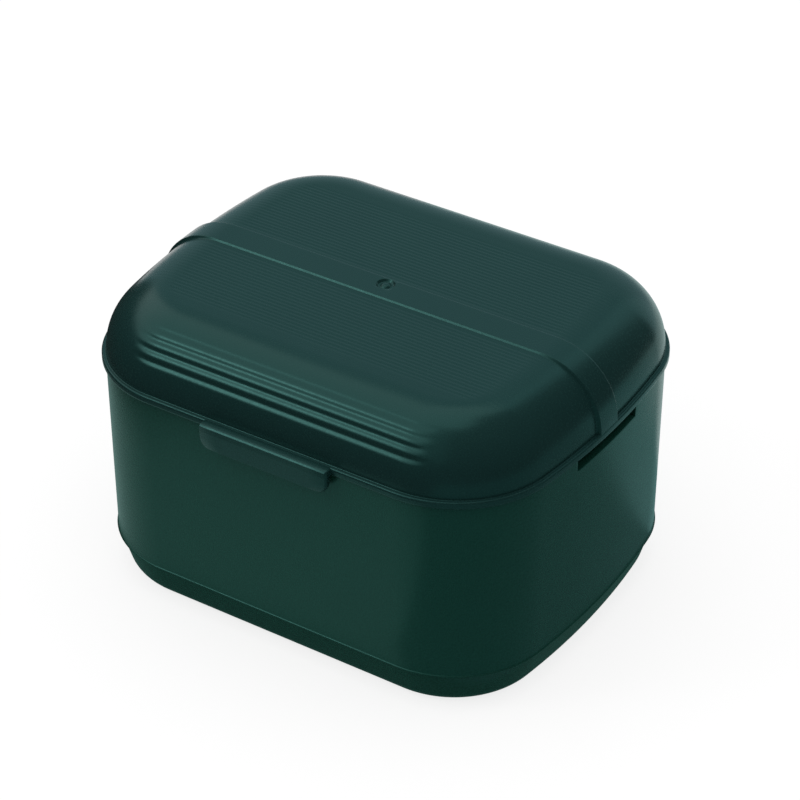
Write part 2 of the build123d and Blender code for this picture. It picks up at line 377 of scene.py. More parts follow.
def cap_points(ring, line):
    """Places of a cap's points: each row goes from the right side to its mirror image,
    divided as the first straight run is."""
    rows = (len(ring) - 2 * (line - 1)) // 2
    share = ring[:line, 0] / ring[line - 1, 0]
    right = ring[line - 1 : line + rows]
    x = share * right[:, :1]
    y = np.repeat(right[:, 1:2], line, axis=1)
    z = np.repeat(right[:, 2:3], line, axis=1)
    return np.stack([x, y, z], axis=-1)


def closed_shell(rings, line, relief=None):
    """Points and quads of a shell, and the point numbers of its two caps. relief(x, y)
    adds a height to the first cap."""
    count, around = rings.shape[:2]
    points = [rings.reshape(-1, 3)]
    index = np.arange(count * around).reshape(count, around)
    index = np.hstack([index, index[:, :1]])
    quads = [grid_quads(index.T)]
    number = count * around
    grids = []
    for which, ring in ((0, rings[0]), (count - 1, rings[-1])):
        grid = cap_grid(which * around, around, line)
        inside = grid < 0
        grid[inside] = number + np.arange(inside.sum())
        number += inside.sum()
        places = cap_points(ring, line)
        if which == 0 and relief is not None:
            places[..., 2] += relief(places[..., 0], places[..., 1])
        points.append(places[inside])
        quads.append(grid_quads(grid) if which == 0 else grid_quads(grid)[:, ::-1])
        grids.append(grid)
    return np.vstack(points), np.vstack(quads), grids


print("2 rows of 3 points give", len(grid_quads(np.arange(6).reshape(2, 3))), "quads")

# %% [markdown]
# ## From points to a piece
#
# All faces are smooth, and an edge is sharp where its faces meet at more than 40 degrees,
# so a rounding of a few rows looks round and a real crease stays.

# %% Make a piece
SHARP_ANGLE = 40.0


def mesh_object(name, points, faces, material):
    """An object of the scene from points in metres and faces."""
    mesh = bpy.data.meshes.new(name)
    mesh.from_pydata(points.tolist(), [], faces)
    mesh.materials.append(material)
    made = bpy.data.objects.new(name, mesh)
    scene.collection.objects.link(made)
    return made


def make_piece(name, points, faces, material, body, slot):
    """A smooth object from points in millimetres, riding on a body of the model."""
    piece = mesh_object(name, points / 1000, faces, material)
    mesh = piece.data
    mesh.polygons.foreach_set("use_smooth", np.ones(len(mesh.polygons), bool))
    mesh.set_sharp_from_angle(angle=math.radians(SHARP_ANGLE))
    mesh.validate()
    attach(piece, body)
    low, high = points.min(0), points.max(0)
    print(name, len(mesh.polygons), "faces, mm", np.round(low, 2), np.round(high, 2))
    return piece


print("edges over", SHARP_ANGLE, "degrees stay sharp")

# %% [markdown]
# ## The lid, outside
#
# The lid is one moulding: a rim 1.3 mm high, a narrow ledge, and a dome that rounds over
# on a 12 mm radius into a flat top. A band 6 mm wide stands 0.35 mm proud and runs over
# the dome from side to side. Fine ribs 0.93 mm apart lie across the flat top on both
# sides of it, and four shallow flutes run along the front shoulder for the fingertips.
#
# All of it is height on one surface. The profile gives the rim, ledge and dome; the band
# is a second profile, and each column takes a share of the one or the other. Ribs and
# flutes are waves taken off along the dome, faded out where the real ones end. A boolean
# cut could make the same shapes, but its edges would be knife sharp, and it is the small
# rounding at each edge that catches the light in the photograph.

# %% Sizes of the lid
PARTING = 44.2
LEDGE = 0.8
DOME_TOP = 57.65
DOME_RADIUS = 12.0
BAND_HALF = 3.0
BAND_MIDDLE = -1.0
BAND_INSET = 0.1
BAND_TOP = 58.0
# Half the width of the slope at each edge of the band
FRONT_SLOPE = 0.22
REAR_SLOPE = 0.34
RIB_PITCH = 0.93
RIB_DEPTH = 0.022
# Pitch and lower end of the flutes in degrees round the dome, and depths from below
FLUTE_PITCH = 9.3
FLUTE_START = 23.8
FLUTE_DEPTHS = np.array([0.26, 0.22, 0.15, 0.06])
FLUTE_SKEW = 1.36
GATE_WINDOW = 1.8

dome_drawn = LEDGE + DOME_RADIUS
dome_middle = DOME_TOP - DOME_RADIUS
band_radius = BAND_TOP - dome_middle
flute_end = FLUTE_START + len(FLUTE_DEPTHS) * FLUTE_PITCH
print("flutes from", FLUTE_START, "to", flute_end, "degrees round the dome")

# %% [markdown]
# ## Columns where the lid needs them
#
# Fine columns everywhere would waste points on plain surface. So the ribs get six to a
# pitch, each edge of the band gets 13, the gate mark gets its own, and the corners
# beyond the last rib make do with a few.

# %% Columns of the lid
RIB_STEPS = 6
RIB_ROWS_END = 23.2
CORNER_REST = 62.0
EDGE_REACH = 1.5
RIB_CLEARANCE = 1.6
FRONT_ROWS = (-3.5, -2.1)

rib_step = RIB_PITCH / RIB_STEPS
side_end = (SIDE_RADIUS - dome_drawn) * math.sin(side_turn)
rib_rows = np.arange(math.ceil(-side_end / rib_step), side_end / rib_step) * rib_step
band_zone = BAND_HALF + RIB_CLEARANCE * REAR_SLOPE
rib_rows = rib_rows[np.abs(rib_rows - BAND_MIDDLE) > band_zone]
edge_steps = np.linspace(-EDGE_REACH, EDGE_REACH, 13)
band_rows = [
    BAND_MIDDLE - BAND_HALF + edge_steps * FRONT_SLOPE,
    BAND_MIDDLE + BAND_HALF + edge_steps * REAR_SLOPE,
    np.linspace(*FRONT_ROWS, 5),
    np.linspace(-GATE_WINDOW, GATE_WINDOW, 19),
]
side_rows = np.unique(np.round(np.concatenate([rib_rows, *band_rows]), 3))

corner_left = CORNER_RADIUS - dome_drawn
first_rib = math.ceil(side_end / rib_step)
corner_ribs = np.arange(first_rib, RIB_ROWS_END / rib_step) * rib_step
corner_turns = np.concatenate(
    [
        np.arcsin((corner_ribs - corner_y) / corner_left),
        np.radians(np.linspace(CORNER_REST, 90, 13)),
    ]
)
gate_share = GATE_WINDOW / (HALF_WIDTH - dome_drawn)
inner_shares = [0.02, 0.04, gate_share, 0.1, 0.2, 0.35, 0.5]
outer_shares = [0.65, 0.8, 0.88, 0.92, 0.95, 0.98, 1]
line_half = np.array(inner_shares + outer_shares)
lid_line = np.concatenate([-line_half[::-1], [0], line_half])
lid_columns = case_columns(
    lid_line, side_rows, corner_turns, dome_drawn, hold_from=6, hold_to=side_end
)
print("the lid has", len(lid_columns["x"]), "columns")

# %% [markdown]
# ## Ribs and flutes
#
# The ribs are an even wave, only 0.02 mm deep. The flutes are larger, and their skewed
# form places the lines of light along them.

# %% Relief of ribs and flutes
# Distances in millimetres at which a relief is gone and at which it is whole
RIB_FADE_BAND = (BAND_HALF + 0.4, BAND_HALF + 1.0)
RIB_FADE_Y = (22.6, 21.4)
RIB_FADE_X = (38.0, 34.5)
FLUTE_FADE_X = (31.0, 26.5)


def rib_relief(x, y):
    """Ribs across the top: a cosine wave in y, cut downwards, which fades out beside the
    band, before the front and back shoulders and before the ends."""
    wave = 0.5 - 0.5 * np.cos(2 * math.pi * y / RIB_PITCH)
    clear_of_band = smoothstep(np.abs(y - BAND_MIDDLE), *RIB_FADE_BAND)
    before_shoulder = smoothstep(np.abs(y), *RIB_FADE_Y)
    before_end = smoothstep(np.abs(x), *RIB_FADE_X)
    return -RIB_DEPTH * wave * clear_of_band * before_shoulder * before_end


def flute_relief(angle, x, y):
    """Flutes along the front shoulder: one cosine wave each in the angle round the dome,
    faded out towards both ends. A power of the share across a flute puts its bottom
    nearer its upper edge, and each is less deep than the one below it."""
    turn = (angle - FLUTE_START) / FLUTE_PITCH
    which = np.clip(np.floor(turn), 0, len(FLUTE_DEPTHS) - 1).astype(int)
    across = np.clip(turn - which, 0, 1) ** FLUTE_SKEW
    wave = FLUTE_DEPTHS[which] * (0.5 - 0.5 * np.cos(2 * math.pi * across))
    return wave * smoothstep(np.abs(x), *FLUTE_FADE_X) * (y < -corner_y)


print("a rib is", 1000 * RIB_DEPTH, "micrometres deep")

# %% [markdown]
# ## The lid's outer profile
#
# The rings go from the flat top out and down over the dome, the ledge and the rim to the
# parting line. Flutes are taken off square to the dome, and ribs straight down.

# %% Rings of the outside
FLUTE_RINGS = 9
RIBBED_FROM = 60.0

angles = np.concatenate(
    [
        np.linspace(90, flute_end, 10)[:-1],
        np.linspace(flute_end, FLUTE_START, len(FLUTE_DEPTHS) * FLUTE_RINGS + 1)[:-1],
        np.linspace(FLUTE_START, 0, 10),
    ]
)[:, None]
cosine, sine = np.cos(np.radians(angles)), np.sin(np.radians(angles))
# Under the dome: inset and height for a plain column, then for a column of the band
RIM_PROFILE = np.array([
    (0.80, 45.62, 0.10, 45.62), (0.77, 45.56, 0.10, 45.58), (0.70, 45.51, 0.10, 45.54),
    (0.60, 45.50, 0.10, 45.50), (0.42, 45.50, 0.09, 45.46), (0.30, 45.50, 0.08, 45.42),
    (0.15, 45.46, 0.06, 45.37), (0.04, 45.35, 0.03, 45.31), (0.00, 45.20, 0.00, 45.20),
    (0.00, 45.00, 0.00, 45.00), (0.00, 44.55, 0.00, 44.55), (0.00, 44.35, 0.00, 44.35),
    (0.05, 44.25, 0.05, 44.25), (0.15, 44.20, 0.15, 44.20), (0.35, 44.20, 0.35, 44.20),
    (2.40, 44.20, 2.40, 44.20),
])
lid_y = ring_points(lid_columns, dome_drawn, 0)[:, 1]
beyond_front = BAND_MIDDLE - BAND_HALF - lid_y
beyond_rear = lid_y - BAND_MIDDLE - BAND_HALF
banded = smoothstep(beyond_front, FRONT_SLOPE, -FRONT_SLOPE) * smoothstep(
    beyond_rear, REAR_SLOPE, -REAR_SLOPE
)
dome_inset = np.vstack([LEDGE + DOME_RADIUS * (1 - cosine), RIM_PROFILE[:, :1]])
dome_height = np.vstack([dome_middle + DOME_RADIUS * sine, RIM_PROFILE[:, 1:2]])
band_inset = np.vstack([BAND_INSET + band_radius * (1 - cosine), RIM_PROFILE[:, 2:3]])
band_height = np.vstack([dome_middle + band_radius * sine, RIM_PROFILE[:, 3:]])
outer_inset = dome_inset + (band_inset - dome_inset) * banded
outer_height = dome_height + (band_height - dome_height) * banded
plain = ring_points(lid_columns, outer_inset, outer_height)
dome_rings = len(angles)
flutes = flute_relief(angles, plain[:dome_rings, :, 0], plain[:dome_rings, :, 1])
outer_inset[:dome_rings] += flutes * cosine
outer_height[:dome_rings] -= flutes * sine
outer = ring_points(lid_columns, outer_inset, outer_height)
ribs = rib_relief(outer[:dome_rings, :, 0], outer[:dome_rings, :, 1])
outer[:dome_rings, :, 2] += ribs * (angles > RIBBED_FROM)
print("outside of the lid:", outer.shape[0], "rings")

# %% [markdown]
# ## The lid, inside
#
# Inside, the lid is plain: a wall 1.6 mm thick that follows the dome, and a lip round
# the mouth that drops 1 mm into the tub and finds its place. The lip stops at the vent
# notches in the sides. Its drop is a number for each column, which is 0 over the vents.

# %% Inside of the lid
LIP_DROP = 1.0
LIP_GAP = (10.2, 10.3)
LID_WALL = 1.6
lip_drop = LIP_DROP * smoothstep(np.abs(lid_y), *LIP_GAP)
# Inset, height, and how much of the lip's drop comes off that height
LIP_PROFILE = np.array([
    (2.60, 44.20, 0), (2.65, 44.19, 0), (2.65, 44.19, 0.85), (2.69, 44.19, 0.95),
    (2.80, 44.19, 1), (3.50, 44.19, 1), (3.61, 44.19, 0.95), (3.65, 44.19, 0.85),
    (3.65, 44.35, 0), (3.65, 45.25, 0), (3.60, 45.36, 0), (3.50, 45.40, 0),
    (2.55, 45.40, 0), (2.40, 45.46, 0),
])
hollow_turns = np.radians(np.linspace(0, 90, 14))[:, None]
hollow_radius = DOME_RADIUS - LID_WALL
hollow_inset = dome_drawn - hollow_radius * np.cos(hollow_turns)
hollow_height = dome_middle + hollow_radius * np.sin(hollow_turns)
inner_inset = np.vstack([LIP_PROFILE[:, :1], hollow_inset]) + 0 * lid_y
inner_height = np.vstack(
    [LIP_PROFILE[:, 1:2] - LIP_PROFILE[:, 2:] * lip_drop, hollow_height + 0 * lid_y]
)
inner = ring_points(lid_columns, inner_inset, inner_height)
lid_points, lid_quads, lid_caps = closed_shell(
    np.concatenate([outer, inner]), len(lid_line), rib_relief
)
print("lid:", len(lid_points), "points before the gate mark")

# %% [markdown]
# ## The gate mark
#
# In the middle of the lid is a small round recess with a nub in it: the place where the
# plastic was let into the mould. The rows round it are straight, so a square window is
# cut out of the cap's grid. Its border is the first ring of a round patch, whose other
# rings follow the mark's profile down, over the nub and to its middle point.

# %% A round patch in a square window
ROW_SLACK = 0.01
COLUMN_SLACK = 0.05
# Radius and height of the mark, from the top of the band to the middle of the nub
GATE_PROFILE = np.array([
    (1.77, 58.00), (1.73, 57.98), (1.68, 57.92), (1.47, 57.61), (1.40, 57.55),
    (1.28, 57.52), (1.06, 57.52), (0.97, 57.55), (0.90, 57.61), (0.72, 57.79),
    (0.52, 57.91), (0.26, 57.96),
])


def fan(ring, middle):
    """Triangles from the edges of a closed ring of point numbers to one more point."""
    return np.column_stack([ring[:-1], ring[1:], np.full(len(ring) - 1, middle)])


def round_patch(points, quads, grid, half, profile):
    """Cuts the quads of a cap within a square of that half width and fills it with rings
    that follow the profile round the middle, and a fan at its end."""
    places = points[grid]
    middle_y = np.abs(places[:, grid.shape[1] // 2, 1])
    rows = np.flatnonzero(middle_y < half + ROW_SLACK)
    columns = np.flatnonzero(np.abs(places[rows[0], :, 0]) < half + COLUMN_SLACK)
    window = grid[rows[0] : rows[-1] + 1, columns[0] : columns[-1] + 1]
    taken = np.isin(quads, window).all(axis=1)
    border = np.concatenate(
        [window[0, :-1], window[:-1, -1], window[-1, :0:-1], window[:0:-1, 0]]
    )
    bearing = np.arctan2(points[border, 1], points[border, 0])
    radius, height = profile[:, :1], profile[:, 1:]
    rings = np.stack(
        [radius * np.cos(bearing), radius * np.sin(bearing), height + 0 * bearing],
        axis=-1,
    )
    start = len(points)
    middle = start + rings[..., 0].size
    index = np.arange(start, middle).reshape(len(profile), -1)
    index = np.vstack([border, index])
    index = np.hstack([index, index[:, :1]])
    points = np.vstack([points, rings.reshape(-1, 3), [(0, 0, profile[-1, 1])]])
    quads = np.vstack([quads[~taken], grid_quads(index)])
    return points, quads, fan(index[-1], middle)


def without_spare_points(points, *face_groups):
    """Drops points that no face uses, and gives the faces as lists."""
    used = np.unique(np.concatenate([faces.ravel() for faces in face_groups]))
    number = np.full(len(points), -1)
    number[used] = np.arange(len(used))
    faces = [face for group in face_groups for face in number[group].tolist()]
    return points[used], faces


lid_points, lid_quads, gate_fan = round_patch(
    lid_points, lid_quads, lid_caps[0], GATE_WINDOW, GATE_PROFILE
)
lid_points, lid_faces = without_spare_points(lid_points, lid_quads, gate_fan)
lid_shell = make_piece(
    "lid_shell", lid_points, lid_faces, lid_green, "lid", "case_plastic"
)
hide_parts("lid")

# %% [markdown]
# ## The finger tab
#
# A tab hangs over the front of the tub for the finger that opens the lid. It is a flat
# slab seen from the front, with round lower corners and a bevel round its face. The face
# is upright beside the rim and leans in a little below it, so a faint crease runs along
# it, and behind it a small hook passes over a bead on the tub and holds the case shut.
# The slab is the same closed shell as the lid, laid on its side: what is up in the shell
# points to the front here.

# %% Finger tab
TAB_HALF = 13.2
TAB_LOW = 40.6
TAB_TOP = 45.49
TAB_CORNER = 2.2
TAB_TOP_CORNER = 0.3
TAB_FRONT = 38.6
TAB_LEAN = 0.15
TAB_BACK = 37.3
TAB_ROOT = 36.6
TAB_STEP = 0.05
# Heights of columns above the parting line
TAB_HEIGHTS = [-1.0, -0.6, -0.3, -0.1, -TAB_STEP, TAB_STEP, 0.1, 0.3, 0.6, 0.8]

low_middle = (TAB_HALF - TAB_CORNER, TAB_LOW + TAB_CORNER)
top_middle = (TAB_HALF - TAB_TOP_CORNER, TAB_TOP - TAB_TOP_CORNER)
lower = np.radians(np.linspace(-90, 0, 10))
upper = np.radians(np.linspace(0, 90, 5))
straight = PARTING + np.array(TAB_HEIGHTS)
tab_side = np.vstack(
    [
        arc_rows(*low_middle, TAB_CORNER, lower, 1.0),
        arc_rows(low_middle[0], straight, TAB_CORNER, 0.0, 1.0),
        arc_rows(*top_middle, TAB_TOP_CORNER, upper, 1.0),
    ]
)
tab_line = np.linspace(-1, 1, 9)
tab_columns = ring_columns(tab_line, tab_side, 0)


def tab_front(height):
    """Upright down to the parting line, and then leaning in evenly to the tab's foot."""
    below = np.maximum(PARTING - height, 0) / (PARTING - TAB_LOW)
    return TAB_FRONT - TAB_LEAN * below


def tab_back(height):
    """Stands clear of the tub, and steps back into the lid's rim at the parting line."""
    above = smoothstep(height, PARTING - TAB_STEP, PARTING + TAB_STEP)
    return TAB_BACK - (TAB_BACK - TAB_ROOT) * above


# Inset, face that a ring is measured from, and how far in front of that face it is
TAB_EDGE = [
    (0.30, tab_front, 0.00),
    (0.27, tab_front, -0.02),
    (0.04, tab_front, -0.29),
    (0.00, tab_front, -0.36),
    (0.00, tab_back, 0.15),
    (0.045, tab_back, 0.05),
    (0.15, tab_back, 0.00),
]
tab_rings = []
for inset, face, past in TAB_EDGE:
    ring = ring_points(tab_columns, inset, 0.0)
    ring[:, 2] = face(ring[:, 1]) + past
    tab_rings.append(ring)
tab_points, tab_quads, _ = closed_shell(np.array(tab_rings), len(tab_line))
to_front = np.array([(1, 0, 0), (0, 0, 1), (0, -1, 0)])
tab_points = tab_points @ to_front
make_piece(
    "finger_tab", tab_points, tab_quads.tolist(), lid_green, "lid", "case_plastic"
)

# %% [markdown]
# ## The snap
#
# The bead on the tub and the hook inside the tab are the same form: a low rounded ridge
# that runs out at both ends. Its section is an ellipse, which shrinks over the last
# millimetre as a quarter circle does. One function makes both.

# %% Bead and hook
SNAP_HALF_LENGTH = 9.0
SNAP_END = 1.0
SNAP_AROUND = 20
# Middle of the section and half its size, y before z
BEAD_SECTION = (-36.3, 42.7, 0.45, 0.35)
HOOK_SECTION = (-37.3, 41.7, 0.47, 0.35)


def ridge(y, z, half_y, half_z):
    """Ellipses along x whose size falls as a quarter circle towards a point at each
    end."""
    ends = np.sin(np.radians(np.linspace(0, 78, 6)))
    body_half = SNAP_HALF_LENGTH - SNAP_END
    x = np.concatenate([-body_half - ends[::-1], body_half + ends])
    size = np.sqrt(1 - np.concatenate([ends[::-1], ends]) ** 2)[:, None]
    turn = np.linspace(0, 2 * math.pi, SNAP_AROUND, endpoint=False)
    rings = np.stack(
        [
            x[:, None] + 0 * turn,
            y + half_y * size * np.cos(turn),
            z + half_z * size * np.sin(turn),
        ],
        axis=-1,
    )
    count = rings[..., 0].size
    index = np.arange(count).reshape(len(x), SNAP_AROUND)
    index = np.hstack([index, index[:, :1]])
    first, last = fan(index[0], count)[:, [1, 0, 2]], fan(index[-1], count + 1)
    poles = [(-SNAP_HALF_LENGTH, y, z), (SNAP_HALF_LENGTH, y, z)]
    points = np.vstack([rings.reshape(-1, 3), poles])
    return points, grid_quads(index).tolist() + first.tolist() + last.tolist()


make_piece("snap_bead", *ridge(*BEAD_SECTION), tub_green, "tub", "case_plastic")
make_piece("snap_hook", *ridge(*HOOK_SECTION), lid_green, "lid", "case_plastic")

# %% [markdown]
# ## The tub
#
# The tub is a deep cup with walls 1.7 mm thick that spread a little towards the top, so
# that it leaves its mould. Near the foot a small step runs all round, with a fine bead
# on its edge that catches the light as a pale line, and below it the wall rounds over
# into the flat underside. In both sides the top edge drops by 2.9 mm for 20 mm: with the
# lid shut these are the vents that let the inside dry. The height of the top edge is a
# number for each column, as the lip's drop was.

# %% Columns of the tub
TUB_TOP = 44.1
VENT_HALF = 10.0
VENT_HEIGHT = 2.9
VENT_CORNER = 0.06

tub_end = SIDE_RADIUS * math.sin(side_turn)
vent_end = VENT_HALF + np.array([-VENT_CORNER, 0, VENT_CORNER])
tub_rows = np.concatenate([np.arange(-19.0, 20.0), -vent_end, vent_end])
tub_rows = np.unique(np.round(tub_rows, 3))
tub_turns = np.linspace(side_turn, math.pi / 2, 40)
tub_line = np.linspace(-1, 1, 21)
tub_columns = case_columns(
    tub_line, tub_rows, tub_turns, 0.0, hold_from=12, hold_to=tub_end
)
tub_y = ring_points(tub_columns, 0.0, 0)[:, 1]
top_edge = TUB_TOP - VENT_HEIGHT * smoothstep(
    np.abs(tub_y), VENT_HALF + VENT_CORNER / 2, VENT_HALF - VENT_CORNER / 2
)
print("the tub has", len(tub_y), "columns")

# %% [markdown]
# ## The tub's profile
#
# The profile goes from the floor up the inside, over the top edge, down the outside and
# round the foot. Where the top edge drops for a vent, its rings come down with it, and
# their inset grows by the spread of the wall, so that they stay on it.

# %% Rings of the tub
WALL_SPREAD = 0.01
TUB_FLOOR = 2.4
WELL_RADIUS = 5.0
WELL_FLAT = 7.8
FOOT_RADIUS = 3.2
FOOT_SLOPE = math.radians(16)
FOOT_FLAT = 5.89

well_turns = np.radians(np.linspace(0, 88, 12))
well_inset = WELL_FLAT - WELL_RADIUS * np.sin(well_turns)
well_height = TUB_FLOOR + WELL_RADIUS * (1 - np.cos(well_turns))
foot_turns = np.linspace(FOOT_SLOPE, math.pi / 2, 14)
foot_inset = FOOT_FLAT - FOOT_RADIUS * np.cos(foot_turns)
foot_height = FOOT_RADIUS * (1 - np.sin(foot_turns))
# Inset and height
INSIDE_WALL = np.array([(2.75, 8.0), (2.64, 20.0), (2.44, 40.0)])
OUTSIDE_WALL = np.array([
    (0.74, 40.0), (0.93, 20.0), (1.046, 8.10), (1.046, 7.91), (1.03, 7.86),
    (0.97, 7.83), (0.92, 7.795), (0.87, 7.745), (0.835, 7.70), (0.825, 7.655),
    (0.84, 7.62), (0.87, 7.60), (1.04, 7.59), (1.22, 7.58), (1.30, 7.54), (1.33, 7.40),
])
# Inset, and depth below the top edge
EDGE_PROFILE = np.array([
    (2.41, 0.40), (2.40, 0.15), (2.44, 0.04), (2.55, 0.00),
    (0.85, 0.00), (0.74, 0.04), (0.70, 0.15), (0.70, 0.40),
])


def level_rings(inset, height):
    """Rings that have the same inset and height all round."""
    return [np.asarray(part)[:, None] + 0 * tub_y for part in (inset, height)]


edge_rings = [
    EDGE_PROFILE[:, :1] + WALL_SPREAD * (TUB_TOP - top_edge),
    top_edge - EDGE_PROFILE[:, 1:],
]
tub_parts = [
    level_rings(well_inset, well_height),
    level_rings(*INSIDE_WALL.T),
    edge_rings,
    level_rings(*OUTSIDE_WALL.T),
    level_rings(foot_inset, foot_height),
]
tub_inset, tub_height = (np.vstack(part) for part in zip(*tub_parts))
tub_rings = ring_points(tub_columns, tub_inset, tub_height)
tub_points, tub_quads, _ = closed_shell(tub_rings, len(tub_line))
tub_shell = make_piece(
    "tub_shell", tub_points, tub_quads.tolist(), tub_green, "tub", "case_plastic"
)
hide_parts("tub")

# %% [markdown]
# ## The hinges
#
# Each hinge has two lugs on the tub and a knuckle on the lid between them, round one
# steel pin. A lug is a barrel with a bracket that slopes down to the wall; a knuckle is
# a barrel with a web to the rim and a heel that meets the tub when the lid is fully
# open. Every point of such an outline can be seen from the pin's middle, so the outline
# is a distance for each direction, in degrees from straight back over straight up.

# %% Outlines of lug and knuckle, as a distance for each direction
BARREL = 2.9
BRACKET_WALL = 5.05
BRACKET_START = 181.5
BRACKET_FOOT = 241.0
BRACKET_END = 315.0
WEB_HEIGHT = 2.0
WEB_REACH = 4.5
WEB_START = 130.0
WEB_END = 180.0
HEEL_TURN = 290.0
HEEL_END = 330.0
HEEL_REACH = 4.05
HEEL_WIDTH = 1.6
LEAST_COSINE = 0.01


def to_plane(distance, cosine):
    """The distance of a plane over the cosine between a direction and its normal, with
    a floor under the cosine for directions that never meet the plane."""
    return distance / np.maximum(cosine, LEAST_COSINE)


def lug_outline(degrees):
    """The barrel's radius, or the wall's distance down to the bracket's foot, or from
    there a plane that leaves the barrel at the bracket's end."""
    turn = np.radians(degrees)
    to_wall = to_plane(BRACKET_WALL, -np.cos(turn))
    to_slope = to_plane(BARREL, np.cos(turn - math.radians(BRACKET_END)))
    bracket = np.where(degrees < BRACKET_FOOT, to_wall, to_slope)
    in_bracket = (degrees > BRACKET_START) & (degrees < BRACKET_END)
    return np.maximum(np.where(in_bracket, bracket, BARREL), BARREL)


def knuckle_outline(degrees):
    """The barrel's radius, or a web of a set height and reach towards the rim, or a heel
    of a set reach and width at its own angle."""
    turn, heel_turn = np.radians(degrees), np.radians(degrees - HEEL_TURN)
    web = np.minimum(
        to_plane(WEB_HEIGHT, np.sin(turn)), to_plane(WEB_REACH, -np.cos(turn))
    )
    heel = np.minimum(
        to_plane(HEEL_REACH, np.cos(heel_turn)), to_plane(HEEL_WIDTH, np.sin(heel_turn))
    )
    in_web = (degrees > WEB_START) & (degrees < WEB_END)
    in_heel = (degrees > HEEL_TURN) & (degrees < HEEL_END)
    out = np.where(in_web, web, np.where(in_heel, heel, BARREL))
    return np.maximum(out, BARREL)


print("lug at 225 degrees:", lug_outline(np.array([225.0])).round(2), "mm from the pin")

# %% [markdown]
# ## Barrels along the pins
#
# Rows round the pin are 6 degrees apart, and closer at the corners of an outline, so
# that these stay crisp. The lugs hold the pin tightly, and a knuckle has room to turn.

# %% Lugs and knuckles
HINGE_Y = 40.5
HINGE_SPACING = 32.0
HINGE_EDGE = 0.2
KNUCKLE_LENGTH = 8.0
KNUCKLE_BORE = 0.96
LUG_LENGTH = 3.4
LUG_BORE = 0.89
SIDE_GAP = 0.25
ROW_STEP = 6.0
CORNER_ROWS = np.array([-0.3, 0.3])
LUG_CORNERS = [BRACKET_START, BRACKET_FOOT]
KNUCKLE_CORNERS = [136.4, 156.0, 180.0, HEEL_TURN, 311.6, 323.5]


def barrels(outline, corners, middles, length, bore):
    """One closed ring-shaped piece for each middle: the section runs from the bore out
    over one rounded end, along the barrel and in over the other."""
    close = (np.array(corners)[:, None] + CORNER_ROWS).ravel()
    degrees = np.concatenate([np.arange(0, 360, ROW_STEP), close])
    degrees = np.unique(np.round(degrees, 3))
    out = outline(degrees)
    end = np.array([0, 0, 0.3, 1]) * HINGE_EDGE - length / 2
    x = np.concatenate([end, -end[::-1]])[:, None]
    drop = np.array([1, 0.3, 0])[:, None] * HINGE_EDGE
    inside = np.full_like(out, bore)
    reach = np.vstack([inside, out - drop, out - drop[::-1], inside])
    turn = np.radians(degrees)
    y, z = HINGE_Y + reach * np.cos(turn), PARTING + reach * np.sin(turn)
    section = np.stack([x + 0 * turn, y, z], axis=-1)
    count, around = section.shape[:2]
    index = np.arange(count * around).reshape(count, around)
    index = np.vstack([index, index[:1]])
    index = np.hstack([index, index[:, :1]])
    one = grid_quads(index)
    points = [section.reshape(-1, 3) + [middle, 0, 0] for middle in middles]
    faces = [one + i * count * around for i in range(len(middles))]
    return np.concatenate(points), np.concatenate(faces).tolist()


hinge_middles = np.array([-0.5, 0.5]) * HINGE_SPACING
lug_offset = KNUCKLE_LENGTH / 2 + SIDE_GAP + LUG_LENGTH / 2
lug_middles = np.concatenate([hinge_middles - lug_offset, hinge_middles + lug_offset])
lugs = barrels(lug_outline, LUG_CORNERS, lug_middles, LUG_LENGTH, LUG_BORE)
make_piece("hinge_lugs", *lugs, tub_green, "tub", "case_plastic")
knuckles = barrels(
    knuckle_outline, KNUCKLE_CORNERS, hinge_middles, KNUCKLE_LENGTH, KNUCKLE_BORE
)
make_piece("hinge_knuckles", *knuckles, lid_green, "lid", "case_plastic")

# %% [markdown]
# ## Natural polypropylene and drawn steel
#
# The strainer basket and its handle are the same plastic as the case without a pigment:
# natural polypropylene, which is milky because light goes a millimetre or two into it
# and comes out again. That is subsurface scattering, with a radius in metres. The hinge
# pins are cut from drawn stainless wire. Drawing leaves fine lines along the wire, some
# 0.1 mm apart, so its noise is stretched along X, the way that the pins lie.
#
# These pieces keep the shapes of the CAD model, so only their material slots change.

# %% Finishes of the inner pieces
FLOW_CLOUD = 9.0
SCATTER_RADIUS = (0.002, 0.002, 0.0018)
DRAWN_LINE = 0.1
DRAWN_HEIGHT = 0.01
DRAWN_STRETCH = 40.0


def natural_polypropylene():
    """Milky unpigmented plastic: a faint cloudiness where the melt flowed together."""
    material, tree = new_material("natural_polypropylene_moulded")
    cloud = noise(tree, object_place(tree), FLOW_CLOUD, 3.0)
    plastic = {
        "Base Color": between(tree, cloud, "#c9cdc6", "#dcded8"),
        "Roughness": 0.38,
        "IOR": POLYPROPYLENE_IOR,
        "Subsurface Weight": 0.25,
        "Subsurface Radius": SCATTER_RADIUS,
        "Subsurface Scale": 1.0,
    }
    show(tree, add_node(tree, "ShaderNodeBsdfPrincipled", {}, plastic))
    return material


def drawn_steel():
    """Stainless wire: lines along X, which the noise gets from a stretched mapping."""
    material, tree = new_material("stainless_steel_drawn_wire")
    stretch = {"Vector": object_place(tree), "Scale": (1 / DRAWN_STRETCH, 1.0, 1.0)}
    stretched = add_node(tree, "ShaderNodeMapping", {}, stretch).outputs["Vector"]
    lines = noise(tree, stretched, DRAWN_LINE, 2.0)
    metal = {
        "Base Color": linear("#c4c2bd"),
        "Metallic": 1.0,
        "Roughness": remap(tree, lines, 0.0, 1.0, 0.18, 0.4),
        "Normal": bump(tree, lines, 0.2, DRAWN_HEIGHT),
    }
    show(tree, add_node(tree, "ShaderNodeBsdfPrincipled", {}, metal))
    return material


